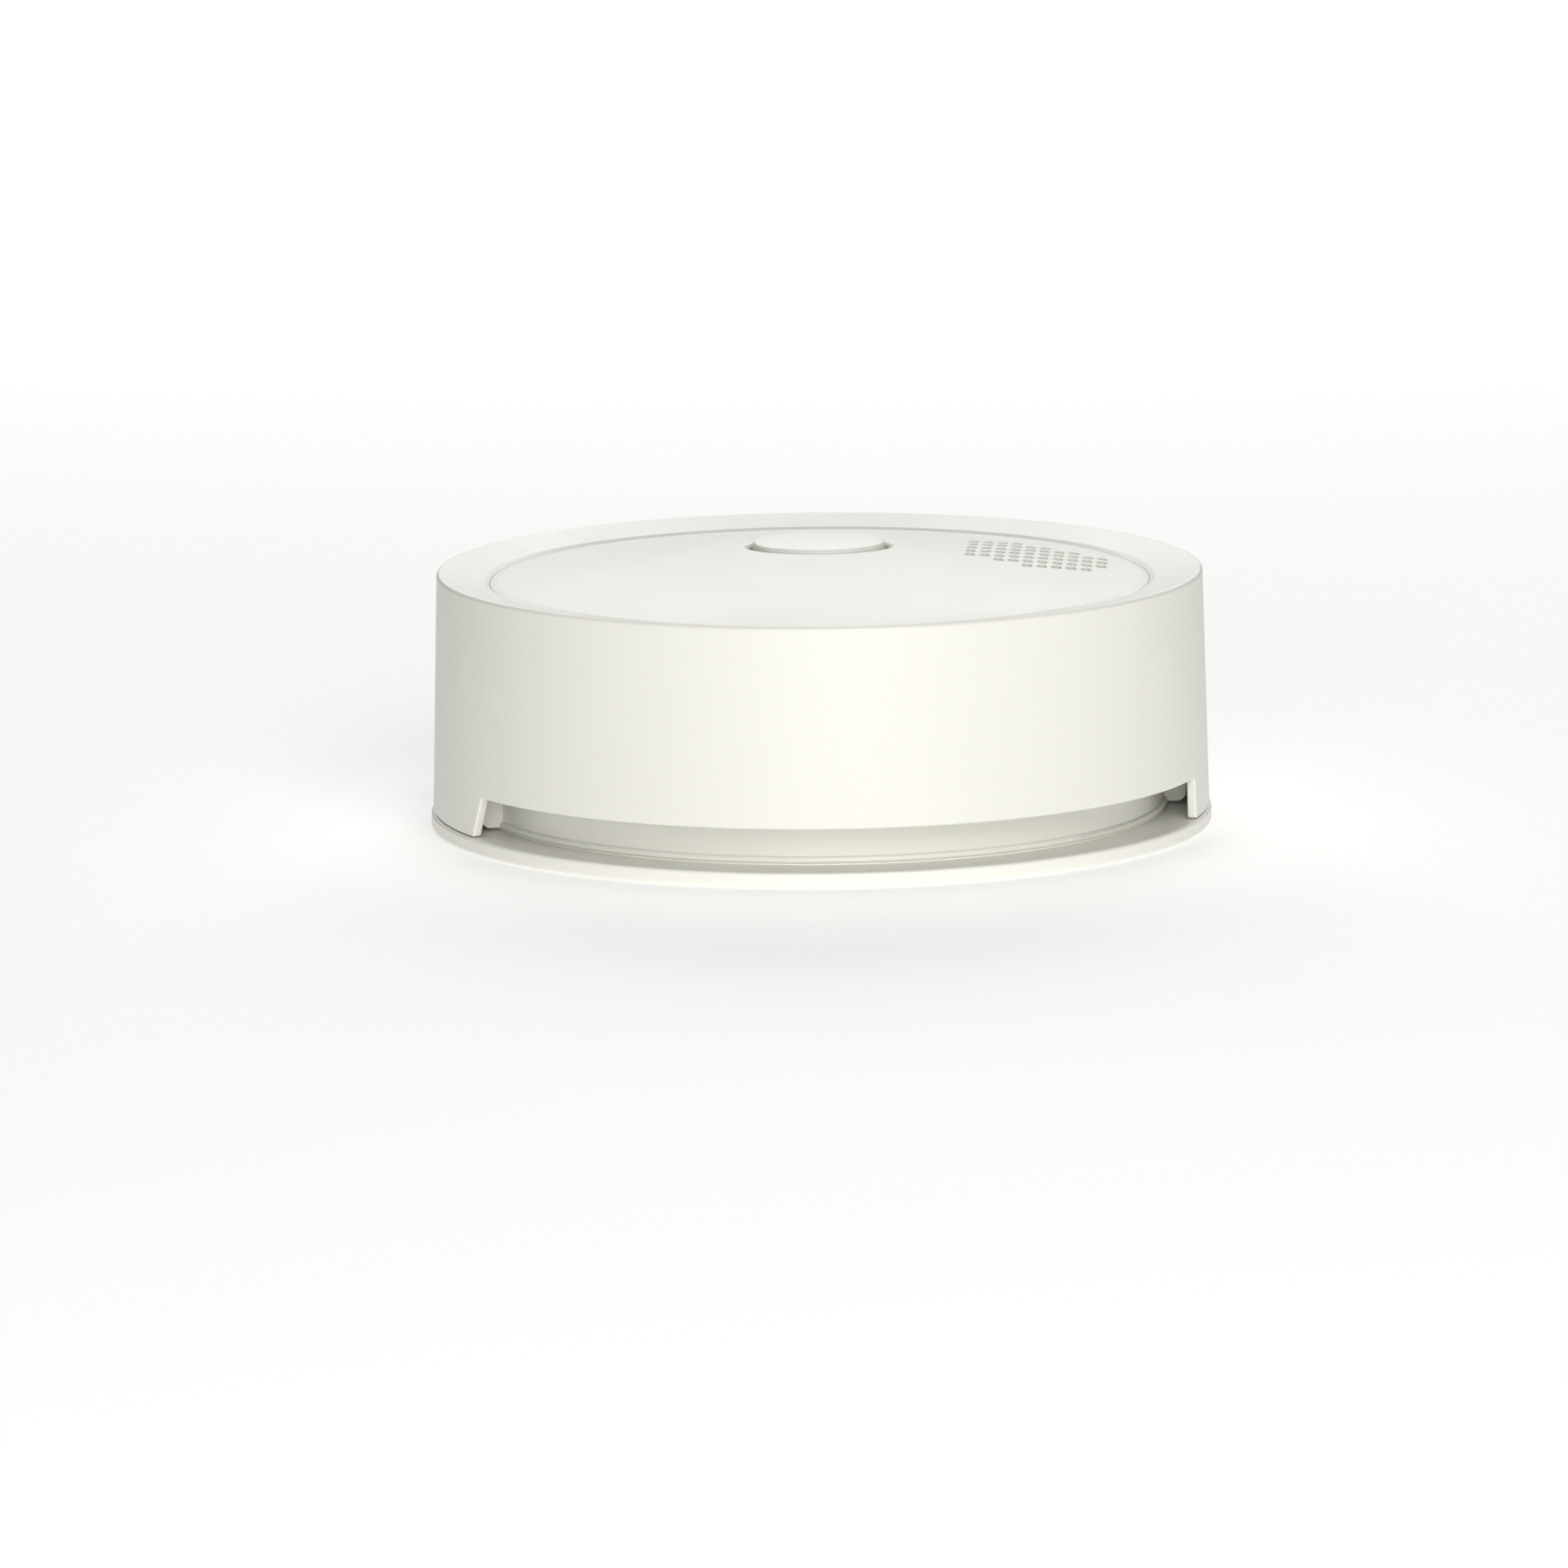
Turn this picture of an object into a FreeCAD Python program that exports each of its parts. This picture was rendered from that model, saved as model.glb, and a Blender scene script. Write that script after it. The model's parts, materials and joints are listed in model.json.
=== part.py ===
import FreeCAD, Part
import math
import os

# Ceiling smoke alarm in millimetres. Z = 0 is the ceiling side of the mounting plate and +Z points
# out of the face. -Y is the front. Angles are in degrees from +X, counter-clockwise seen from the face.
Vector = FreeCAD.Vector
AXIS = Vector(0, 0, 1)

# Mounting plate
plate_radius = 50.4
plate_top = 1.9
plate_edge_round = 0.4
screw_slot_spacing = 60.0
screw_slot_length = 8.0
screw_slot_width = 4.4
relief_depth = 0.8

# Rear housing: a floor inside a round wall that stands just off the plate
turning_gap = 0.2
wall_radius = 44.3
wall_thickness = 1.8
wall_top = 27.0
floor_bottom = 5.2
floor_top = 7.0
foot_bead = 0.45

# Bayonet between the plate and the rear housing
bayonet_angles = (45, 135, 225, 315)
hook_radius = 37.5
hook_thickness = 1.2
hook_reach = 41.0
hook_top = 5.0
hook_half_angle = 7.0
lip_bottom = 4.0
stop_angle = 1.6
lug_radius = 39.0
lug_bottom = 2.6
lug_top = 3.7
lug_half_angle = 6.5

# Front cover
cover_radius = 50.0
cover_top_radius = 49.35
cover_edge = 7.35
rim_top = 32.8
rim_inner_top = 31.75
rim_round = 0.5
cover_wall = 1.2
rim_inner_radius = 43.2
seat_radius = 42.5
seat_height = 29.9
ledge_radius = 40.4
ledge_thickness = 1.5
slot_start = -150.0
slot_sweep = 133.0
slot_lean = 3.1

# Face plate: a shallow dome that drops into the cover's rim
face_radius = 42.35
dome_radius = 41.5
dome_edge = 31.65
dome_height = 2.35
face_thickness = 1.3
groove_depth = 0.4
face_fit_gap = 0.05
above_face = 36.0

# Test button
button_centre = (0.0, 13.8)
button_radius = 8.6
button_hole_radius = 9.15
button_top = 34.4
button_crown = 0.15
button_round = 0.5
button_wall = 1.2
flange_radius = 10.2
flange_bottom = 29.9
flange_top = 30.75
stem_radius = 2.0
stem_bottom = 26.1
lamp_offset = 6.3

# Allowances: how far fused pieces reach into each other, and how far cutters run past a face
overlap = 0.5
past = 1.0

# Circuit board and its posts
board_radius = 41.5
board_bottom = 19.5
board_top = 21.1
board_front = -18.4
board_posts = ((-31.0, -8.0), (13.0, -13.0), (8.0, 33.5))
board_post_radius = 2.6
board_screw_radius = 1.1
board_screw_hole_top = 12.0
mounting_gap = 0.05

# Cover posts, screwed from behind
cover_post_angles = (-155, -25, 50, 130)
cover_post_circle = 39.4
cover_post_radius = 2.6
cover_post_bottom = 9.6
cover_screw_radius = 1.4
screw_pocket_radius = 3.0
screw_pocket_top = 7.4
screw_boss_top = 9.4
screw_boss_radius = 4.0
cover_bore_top = 19.5

# Smoke chamber
chamber_centre = (-8.0, 10.0)
chamber_radius = 17.6
chamber_bottom = 7.4
chamber_floor_top = 8.6
labyrinth_top = 17.5
chamber_base_bottom = 17.6
chamber_base_top = 19.4
optics_height = 13.2
emitter_angle = 200.0
receiver_angle = 330.0
holder_start = 8.5
body_radius = 1.5
lead_half_width = 0.2
lead_half_depth = 0.25
lead_offset = 1.27
lead_radius_out = 15.5

# Sounder
sounder_centre = (26.5, 7.5)
sounder_radius = 13.5
sounder_top = 28.1
sounder_step = 24.3
sounder_throat_radius = 12.35

# Battery, lying across the front
battery_y = -28.5
battery_z = 16.2
battery_radius = 8.4
battery_end = 16.3
cradle_end = 18.4
terminal_half_width = 2.0
terminal_thickness = 0.2


def at_angle(radius, degrees, height=0.0):
    angle = math.radians(degrees)
    return Vector(radius * math.cos(angle), radius * math.sin(angle), height)


def cylinder(radius, bottom, top, centre=(0.0, 0.0)):
    return Part.makeCylinder(radius, top - bottom, Vector(centre[0], centre[1], bottom))


def tube(outer, inner, bottom, top, centre=(0.0, 0.0)):
    return cylinder(outer, bottom, top, centre).cut(cylinder(inner, bottom, top, centre))


def block(x_range, y_range, z_range):
    size = [high - low for low, high in (x_range, y_range, z_range)]
    return Part.makeBox(size[0], size[1], size[2], Vector(x_range[0], y_range[0], z_range[0]))


def sector(inner, outer, bottom, top, start, sweep):
    """Part of a ring, from the start angle through the sweep."""
    wedge = Part.makeCylinder(outer, top - bottom, Vector(0, 0, bottom), AXIS, sweep)
    wedge = wedge.cut(cylinder(inner, bottom, top))
    wedge.rotate(Vector(), AXIS, start)
    return wedge


def turned_to(shape, degrees, centre=(0.0, 0.0)):
    copy = shape.copy()
    copy.rotate(Vector(centre[0], centre[1], 0), AXIS, degrees)
    return copy


def moved(shape, x, y, z=0.0):
    copy = shape.copy()
    copy.translate(Vector(x, y, z))
    return copy


def fuse(*shapes):
    return shapes[0].multiFuse(list(shapes[1:])).removeSplitter()


def cut_all(shape, cutters):
    return shape.cut(Part.makeCompound(list(cutters)))


def outline(start, *steps):
    """Closed face in the XZ plane. A step is an end point, or a (middle, end) pair for an arc."""
    def corner(point):
        return Vector(point[0], 0, point[1])
    edges = []
    here = start
    for step in steps + (start,):
        if isinstance(step[0], tuple):
            edges.append(Part.Arc(corner(here), corner(step[0]), corner(step[1])).toShape())
            here = step[1]
        else:
            edges.append(Part.LineSegment(corner(here), corner(step)).toShape())
            here = step
    return Part.Face(Part.Wire(edges))


def turned(start, *steps, centre=(0.0, 0.0)):
    """Solid of revolution about a vertical line through the centre."""
    return moved(outline(start, *steps).revolve(Vector(), AXIS, 360), centre[0], centre[1])


def round_circles(shape, radius, size):
    """Round every circular edge of the given radius."""
    circles = [edge for edge in shape.Edges if isinstance(edge.Curve, Part.Circle)]
    return shape.makeFillet(size, [edge for edge in circles if abs(edge.Curve.Radius - radius) < 1e-6])


def slot_cutter(centre, length, width, bottom, top, along_y=False):
    """Round-ended slot with its long side along X, or along Y."""
    half = (length - width) / 2
    body = block((-half, half), (-width / 2, width / 2), (bottom, top))
    ends = [cylinder(width / 2, bottom, top, (side * half, 0.0)) for side in (-1, 1)]
    shape = fuse(body, *ends)
    return moved(turned_to(shape, 90.0 if along_y else 0.0), centre[0], centre[1])


def cross_head_screw(head_radius, head_height, shank_radius, length):
    """Pan head below z = 0 and shank above it, with a cross recess in the head."""
    recess_depth = 0.6 * head_height
    recess_length = 0.65 * head_radius
    recess_width = 0.22 * head_radius
    head = turned((0, 0), (head_radius, 0), (head_radius, -0.55 * head_height),
                  (0.8 * head_radius, -0.9 * head_height), (0.55 * head_radius, -head_height),
                  (0, -head_height))
    tip = 0.8 * shank_radius
    shank = turned((0, 0), (shank_radius, 0), (shank_radius, length - tip), (0.3 * shank_radius, length),
                   (0, length))
    arms = [block((-a, a), (-b, b), (-head_height, recess_depth - head_height))
            for a, b in ((recess_length, recess_width), (recess_width, recess_length))]
    return fuse(head, shank).cut(fuse(*arms))


def underside_relief(inner, outer, ribs, rib_width):
    """Shallow ring cut into the plate's ceiling side, crossed by radial ribs."""
    ring = tube(outer, inner, 0.0, relief_depth)
    bar = block((inner - past, outer + past), (-rib_width / 2, rib_width / 2), (0.0, relief_depth))
    return cut_all(ring, [turned_to(bar, 360.0 * i / ribs) for i in range(ribs)])


def bayonet_hook():
    """Hook at angle 0: an upright, a lip that reaches outwards over a lug, and a stop beside them."""
    foot = plate_top - relief_depth / 2
    start = -hook_half_angle
    sweep = 2 * hook_half_angle
    upright = sector(hook_radius, hook_radius + hook_thickness, foot, hook_top, start, sweep)
    lip = sector(hook_radius, hook_reach, lip_bottom, hook_top, start, sweep)
    stop = sector(hook_radius, hook_reach, foot, hook_top, start - stop_angle, stop_angle)
    return fuse(upright, lip, stop)


def mounting_plate():
    plate = round_circles(cylinder(plate_radius, 0.0, plate_top), plate_radius, plate_edge_round)
    plate = fuse(plate, *[turned_to(bayonet_hook(), angle) for angle in bayonet_angles])
    half = screw_slot_spacing / 2
    slots = [slot_cutter((x, 0.0), screw_slot_length, screw_slot_width, -past, plate_top + past)
             for x in (-half, half)]
    slots += [turned_to(slot, 90.0) for slot in slots]
    inner_relief = underside_relief(inner=6.0, outer=23.0, ribs=8, rib_width=1.4)
    outer_relief = underside_relief(inner=36.5, outer=48.6, ribs=36, rib_width=1.2)
    return cut_all(plate, slots + [inner_relief, outer_relief])


def wall_windows():
    """Tall smoke windows around the wall, above the cover's lower edge where they are hidden."""
    count = 24
    half_angle = 3.5
    bottom = 9.6
    top = 18.6
    inner = wall_radius - 2 * wall_thickness
    window = sector(inner, wall_radius + past, bottom, top, -half_angle, 2 * half_angle)
    return [turned_to(window, 360.0 * (i + 0.5) / count) for i in range(count)]


def leg_webs():
    """Radial webs outside the wall, two behind each of the cover's legs, with a rounded lower corner."""
    reach = 47.1
    thickness = 1.4
    outer_top = 20.0
    root_top = 22.5
    root = wall_radius - wall_thickness / 2
    low = plate_top + 2 * turning_gap
    corner = 1.2
    bend = corner * (1 - math.sqrt(0.5))
    face = outline((root, low), (reach - corner, low), ((reach - bend, low + bend), (reach, low + corner)),
                   (reach, outer_top), (root, root_top))
    web = moved(face.extrude(Vector(0, thickness, 0)), 0.0, -thickness / 2)
    return [turned_to(web, angle) for angle in (-2, 22, 178, 202)]


def battery_cradle():
    """Two saddle ribs and two end stops that rise from the floor under the battery."""
    bottom = floor_top - overlap
    rib_top = 12.0
    stop_top = 18.0
    saddle = battery_radius + 0.2
    cell = Part.makeCylinder(saddle, 60.0, Vector(-30.0, battery_y, battery_z), Vector(1, 0, 0))
    ribs = [block((x - 1.0, x + 1.0), (battery_y - 9.3, battery_y + 9.0), (bottom, rib_top))
            for x in (-10.0, 10.0)]
    stops = [block((x - 0.6, x + 0.6), (battery_y - 3.5, battery_y + 3.5), (bottom, stop_top))
             for x in (-cradle_end, cradle_end + 0.5)]
    return [rib.cut(cell) for rib in ribs] + stops


def rear_housing():
    inside = wall_radius - wall_thickness
    foot = plate_top + turning_gap
    bottom = floor_top - overlap
    shell = turned((wall_radius, foot), (wall_radius, wall_top), (inside, wall_top), (inside, floor_top),
                   (0, floor_top), (0, floor_bottom), (inside, floor_bottom), (inside, foot))
    bead = turned((wall_radius - foot_bead, foot), (wall_radius, foot),
                  ((wall_radius + foot_bead, foot + foot_bead), (wall_radius, foot + 2 * foot_bead)),
                  (wall_radius - foot_bead, foot + 2 * foot_bead))
    lug = sector(lug_radius, inside + overlap, lug_bottom, lug_top, -lug_half_angle, 2 * lug_half_angle)
    lugs = [turned_to(lug, angle) for angle in bayonet_angles]
    posts = [cylinder(board_post_radius, bottom, board_bottom - mounting_gap, spot) for spot in board_posts]
    bosses = [cylinder(screw_boss_radius, bottom, screw_boss_top, spot) for spot in cover_post_spots()]
    housing = shell.cut(Part.makeCompound(wall_windows()))
    housing = fuse(housing, bead, *(lugs + posts + bosses + leg_webs() + battery_cradle()))
    board_bore = board_screw_radius + mounting_gap
    holes = [cylinder(board_bore, board_screw_hole_top, board_bottom, spot) for spot in board_posts]
    for spot in cover_post_spots():
        holes.append(cylinder(screw_pocket_radius, floor_bottom - past, screw_pocket_top, spot))
        holes.append(cylinder(cover_screw_radius + 0.2, floor_bottom, screw_boss_top + past, spot))
    return cut_all(housing, holes)


def cover_post_spots():
    return [tuple(at_angle(cover_post_circle, angle))[:2] for angle in cover_post_angles]


def cover_radius_at(height):
    """The cover's wall leans inwards slightly from its lower edge to the rim."""
    slope = (cover_radius - cover_top_radius) / (rim_top - cover_edge)
    return cover_radius - slope * (height - cover_edge)


def smoke_slot():
    """Cutter for one smoke slot; its clockwise end leans outwards towards the plate."""
    low = 0.0
    inner = cover_radius - 5.0
    outer = cover_radius + 3.0
    opening = sector(inner, outer, low, cover_edge, slot_start, slot_sweep)
    lean = outline((0.2, low), (-slot_lean, low), (0.0, cover_edge), (0.2, cover_edge))
    lean = lean.extrude(Vector(0, outer - inner, 0))
    lean.rotate(Vector(), AXIS, 90.0)
    lean = moved(lean, outer, 0.0)
    return fuse(opening, turned_to(lean, slot_start))


def front_cover():
    """Wall with a dished rim: its outer edge is the crest, and it slopes in and down to the face."""
    foot = plate_top + turning_gap
    shoulder = rim_top - rim_round
    bend = rim_round * (1 - math.sqrt(0.5))
    under_rim = rim_inner_top - cover_wall
    under_crest = rim_top - cover_wall
    top_radius = cover_radius_at(rim_top)
    foot_radius = cover_radius_at(foot)
    ledge_bottom = seat_height - ledge_thickness
    shell = turned((foot_radius, foot), (top_radius, shoulder),
                   ((top_radius - bend, rim_top - bend), (top_radius - rim_round, rim_top)),
                   (rim_inner_radius, rim_inner_top), (seat_radius, rim_inner_top - groove_depth),
                   (seat_radius, seat_height), (ledge_radius, seat_height), (ledge_radius, ledge_bottom),
                   (rim_inner_radius + 0.8, ledge_bottom), (rim_inner_radius + 1.6, under_rim),
                   (top_radius - cover_wall, under_crest), (foot_radius - cover_wall, foot))
    slot = smoke_slot()
    shell = cut_all(shell, [slot, turned_to(slot, 180.0)])
    posts = [cylinder(cover_post_radius, cover_post_bottom, seat_height - overlap, spot)
             for spot in cover_post_spots()]
    bores = [cylinder(cover_screw_radius + mounting_gap, cover_post_bottom - past, cover_bore_top, spot)
             for spot in cover_post_spots()]
    return cut_all(fuse(shell, *posts), bores)


def crown_height(radius, span, rise, edge, depth=0.0):
    """Height of a spherical crown of that half-width span and rise, or of a skin below it by depth."""
    sphere = (span ** 2 + rise ** 2) / (2 * rise)
    return edge + rise - sphere + math.sqrt((sphere - depth) ** 2 - radius ** 2)


def dome_face_height(radius, depth=0.0):
    return crown_height(radius, dome_radius, dome_height, dome_edge, depth)


def grille_slots():
    """Rows of short slots over the sounder, in a lozenge with cut corners to the right of the button.

    The columns lean to the right as they run back; the rows are square to the plate.
    """
    columns = 10
    rows = 7
    column_pitch = 1.9
    row_pitch = 3.7
    slot_width = 1.0
    slot_length = 2.4
    slot_bottom = seat_height - past
    lean = 0.052
    first = (19.2, -0.6)
    nearest = 25.5
    farthest = 48.0
    rightmost = 36.0
    spots = []
    for row in range(rows):
        y = first[1] + row * row_pitch
        spots += [(first[0] + column * column_pitch + lean * y, y) for column in range(columns)]
    return [slot_cutter(spot, slot_length, slot_width, slot_bottom, above_face, along_y=True)
            for spot in spots
            if nearest <= spot[0] + spot[1] <= farthest and spot[0] - spot[1] <= rightmost]


def snap_hook():
    """Clip at angle 0 that passes inside the cover's ledge and catches under it."""
    inner = 38.9
    outer = 40.1
    barb_reach = 41.0
    bottom = 27.4
    barb_top = 28.2
    half_angle = 3.4
    upright = sector(inner, outer, bottom, seat_height + face_thickness - 0.1, -half_angle, 2 * half_angle)
    barb = sector(inner, barb_reach, bottom, barb_top, -half_angle, 2 * half_angle)
    return fuse(upright, barb)


def face_plate():
    bottom = seat_height + face_fit_gap
    half = dome_radius / 2
    inner = 39.4
    bevel_width = 1.0
    skin = [(radius, dome_face_height(radius)) for radius in (0, half, dome_radius)]
    inside = [(radius, dome_face_height(radius, face_thickness)) for radius in (inner, inner / 2, 0)]
    dome = turned(skin[0], (skin[1], skin[2]), (face_radius, dome_edge - groove_depth), (face_radius, bottom),
                  (inner, bottom), inside[0], (inside[1], inside[2]))
    collar_radius = flange_radius + 0.6
    collar_top = dome_face_height(button_centre[1] + flange_radius) - face_thickness / 2
    collar = cylinder(collar_radius, flange_top + mounting_gap, collar_top, button_centre)
    plate = fuse(dome, collar, *[turned_to(snap_hook(), angle) for angle in (75, 165, 255, 345)])
    hole = cylinder(button_hole_radius, seat_height - 2 * past, above_face, button_centre)
    brim = dome_face_height(button_centre[1] - button_hole_radius) + 0.1
    narrow = button_hole_radius - 0.1
    bevel = turned((0, brim - bevel_width), (narrow, brim - bevel_width), (narrow + bevel_width, brim),
                   (0, brim), centre=button_centre)
    return cut_all(plate, [hole, bevel] + grille_slots())


def test_button():
    skin = button_top - button_crown - button_wall
    inside = button_radius - button_wall
    shoulder = button_radius - button_round
    edge_top = button_top - button_crown
    bend = button_round * (1 - math.sqrt(0.5))
    crown = crown_height(shoulder / 2, shoulder, button_crown, edge_top)
    return turned((0, button_top), ((shoulder / 2, crown), (shoulder, edge_top)),
                  ((button_radius - bend, edge_top - bend), (button_radius, edge_top - button_round)),
                  (button_radius, flange_top), (flange_radius, flange_top), (flange_radius, flange_bottom),
                  (inside, flange_bottom), (inside, skin), (stem_radius, skin), (stem_radius, stem_bottom),
                  (0, stem_bottom), centre=button_centre)


def button_spring():
    """Compression spring of eight-sided wire between the board and the button's top."""
    wire_radius = 0.25
    wire_sides = 8
    coil_radius = 4.9
    turns = 6
    bottom = board_top + mounting_gap + wire_radius
    top = button_top - button_crown - button_wall - mounting_gap - wire_radius
    pitch = (top - bottom) / turns
    lead = math.atan2(pitch, 2 * math.pi * coil_radius)
    corners = []
    for side in range(wire_sides + 1):
        across = at_angle(wire_radius, 360.0 * side / wire_sides)
        corners.append(Vector(coil_radius + across.x, -across.y * math.sin(lead), across.y * math.cos(lead)))
    helix = Part.Wire(Part.makeHelix(pitch, top - bottom, coil_radius).Edges)
    coil = helix.makePipeShell([Part.makePolygon(corners)], True, True)
    return moved(coil, button_centre[0], button_centre[1], bottom)


def switch_body():
    """Square tactile switch with a round collar and four solder feet."""
    x, y = button_centre
    half = 3.0
    low = board_top + mounting_gap
    case_top = 24.4
    collar_top = 24.8
    bore_bottom = 22.8
    foot_x = half + 0.4
    foot_y = 2.0
    case = block((x - half, x + half), (y - half, y + half), (low, case_top))
    collar = cylinder(2.4, case_top - overlap, collar_top, button_centre)
    foot = block((-0.5, 0.5), (-0.4, 0.4), (low, low + 0.3))
    feet = [moved(foot, x + side * foot_x, y + end * foot_y) for side in (-1, 1) for end in (-1, 1)]
    bore = cylinder(1.75, bore_bottom, collar_top + past, button_centre)
    return fuse(case, collar, *feet).cut(bore)


def switch_plunger():
    radius = 1.68
    bottom = 23.5
    top = 26.05
    chamfer = 0.3
    return turned((0, bottom), (radius, bottom), (radius, top - chamfer), (radius - chamfer, top), (0, top),
                  centre=button_centre)


def circuit_board():
    bottom = board_bottom - past
    top = board_top + past
    lead_hole_radius = 0.5
    board = cylinder(board_radius, board_bottom, board_top)
    front = block((-50.0, 50.0), (-50.0, board_front), (bottom, top))
    notches = [cylinder(cover_post_radius + 0.6, bottom, top, spot) for spot in cover_post_spots()]
    holes = [cylinder(board_screw_radius + 0.15, bottom, top, spot) for spot in board_posts]
    leads = [cylinder(lead_hole_radius, bottom, top, spot) for spot in lead_spots()]
    return cut_all(board, [front] + notches + holes + leads)


def board_screws():
    screw = cross_head_screw(head_radius=2.1, head_height=1.5, shank_radius=board_screw_radius, length=7.0)
    screw.rotate(Vector(), Vector(1, 0, 0), 180.0)
    under_head = board_top + mounting_gap
    return Part.makeCompound([moved(screw, spot[0], spot[1], under_head) for spot in board_posts])


def cover_screws():
    screw = cross_head_screw(head_radius=2.7, head_height=1.7, shank_radius=cover_screw_radius, length=11.0)
    under_head = screw_pocket_top - mounting_gap
    return Part.makeCompound([moved(screw, spot[0], spot[1], under_head) for spot in cover_post_spots()])


def to_chamber(shape, degrees=0.0):
    """Place a piece drawn about the origin in the smoke chamber, turned about the chamber's centre."""
    return moved(turned_to(shape, degrees), chamber_centre[0], chamber_centre[1])


def lead_spots():
    """Where the emitter's and receiver's leads pass through the board."""
    spots = []
    for angle in (emitter_angle, receiver_angle):
        for side in (-1, 1):
            spot = Vector(lead_radius_out, side * lead_offset, 0)
            placed = FreeCAD.Rotation(AXIS, angle).multVec(spot)
            spots.append((placed.x + chamber_centre[0], placed.y + chamber_centre[1]))
    return spots


def optics_holder():
    """Hollow block below the chamber's base that aims one optical part at the centre."""
    half_width = 2.6
    end = 14.6
    bottom = optics_height - 2.4
    case = block((holder_start, end), (-half_width, half_width), (bottom, chamber_base_bottom + overlap))
    bore = Part.makeCylinder(body_radius + 0.15, 30.0, Vector(0, 0, optics_height), Vector(1, 0, 0))
    return case.cut(bore)


def chamber_base():
    angles = (emitter_angle, receiver_angle)
    disc = cylinder(chamber_radius, chamber_base_bottom, chamber_base_top)
    body = fuse(disc, *[turned_to(optics_holder(), angle) for angle in angles])
    lead_way = block((lead_radius_out - 0.7, lead_radius_out + 0.7), (-2.0, 2.0),
                     (chamber_base_bottom - past, board_bottom))
    return to_chamber(cut_all(body, [turned_to(lead_way, angle) for angle in angles]))


def labyrinth_vane():
    """Chevron vane at angle 0 that lets smoke in and keeps light out."""
    inner, middle, outer = 12.6, 15.0, 17.4
    back, thickness = -1.3, 1.2
    fold = middle - inner
    bottom = chamber_floor_top - 0.3
    corners = ((inner, back), (middle, back + fold), (outer, back), (outer, back - thickness),
               (middle, back + fold - thickness), (inner, back - thickness))
    points = [Vector(x, y, bottom) for x, y in corners + corners[:1]]
    return Part.Face(Part.makePolygon(points)).extrude(Vector(0, 0, labyrinth_top - bottom))


def chamber_labyrinth():
    vanes = 16
    blind_half_angle = 21.0
    blind_inner = 16.6
    clear_angle = blind_half_angle + 6.0
    blinds = (emitter_angle, receiver_angle)
    floor = cylinder(chamber_radius, chamber_bottom, chamber_floor_top)
    pieces = []
    for angle in (360.0 * index / vanes for index in range(vanes)):
        offsets = [abs((angle - blind + 180.0) % 360.0 - 180.0) for blind in blinds]
        if min(offsets) > clear_angle:
            pieces.append(turned_to(labyrinth_vane(), angle))
    for blind in blinds:
        pieces.append(sector(blind_inner, chamber_radius, chamber_floor_top - 0.3, labyrinth_top,
                             blind - blind_half_angle, 2 * blind_half_angle))
    return to_chamber(fuse(floor, *pieces))


def insect_screen():
    """Thin etched band around the labyrinth."""
    gaps = 60
    gap_half_width = 0.65
    inner = chamber_radius + 0.3
    outer = inner + 0.25
    band = tube(outer, inner, chamber_bottom, labyrinth_top)
    gap = block((inner - overlap, outer + overlap), (-gap_half_width, gap_half_width),
                (chamber_floor_top + 0.4, labyrinth_top - 1.0))
    return to_chamber(cut_all(band, [turned_to(gap, 360.0 * i / gaps) for i in range(gaps)]))


def optical_part(lens_radius):
    """Domed lamp or sensor that points at the chamber's centre, with two leads up to the board."""
    along = Vector(1, 0, 0)
    lens_start = 9.6
    body_length = 5.2
    lead_start = 14.5
    lens_centre = lens_start + math.sqrt(lens_radius ** 2 - body_radius ** 2)
    body = Part.makeCylinder(body_radius, body_length, Vector(lens_start, 0, optics_height), along)
    core = Part.makeCylinder(body_radius, 6.0, Vector(lens_start - 3.0, 0, optics_height), along)
    pieces = [Part.makeSphere(lens_radius, Vector(lens_centre, 0, optics_height)).common(core)]
    for side in (-1, 1):
        across = (side * lead_offset - lead_half_width, side * lead_offset + lead_half_width)
        low, high = optics_height - lead_half_depth, optics_height + lead_half_depth
        bend = (lead_radius_out - lead_half_depth, lead_radius_out + lead_half_depth)
        pieces.append(block((lead_start, bend[1]), across, (low, high)))
        pieces.append(block(bend, across, (low, board_top + 0.6)))
    return fuse(body, *pieces)


def sounder_housing():
    """Black cup over the sounding disc, with a resonance chamber and a round mouth."""
    chamber_radius_inside = 11.3
    mouth_radius = 3.5
    lid = 1.2
    body = cylinder(sounder_radius, board_top + mounting_gap, sounder_top, sounder_centre)
    throat = cylinder(sounder_throat_radius, board_top, sounder_step, sounder_centre)
    chamber = cylinder(chamber_radius_inside, sounder_step - 0.1, sounder_top - lid, sounder_centre)
    mouth = cylinder(mouth_radius, sounder_top - 2.0, sounder_top + past, sounder_centre)
    return cut_all(body, [throat, chamber, mouth])


def sounder_disc():
    """Thin brass disc that rests against the step in the housing."""
    return cylinder(sounder_throat_radius - 0.15, sounder_step - 0.3, sounder_step - 0.02, sounder_centre)


def sounder_ceramic():
    """Ceramic wafer on the back of the brass disc."""
    return cylinder(8.8, sounder_step - 0.55, sounder_step - 0.32, sounder_centre)


def sounder_contacts():
    """Three springy strips that stand on the board and press on the sounder's discs."""
    thickness = 0.25
    half_width = 0.75
    foot_length = 2.4
    pad_length = 1.3
    low = board_top + mounting_gap
    pieces = []
    for angle, reach, top in ((90, 4.0, 23.7), (210, 6.5, 23.7), (330, 10.4, 23.95)):
        across = (-half_width, half_width)
        foot = block((reach - foot_length, reach), across, (low, board_top + 0.3))
        riser = block((reach - thickness, reach), across, (low, top))
        pad = block((reach - thickness, reach + pad_length), across, (top - thickness, top))
        strip = turned_to(fuse(foot, riser, pad), angle)
        pieces.append(moved(strip, sounder_centre[0], sounder_centre[1]))
    return Part.makeCompound(pieces)


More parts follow.
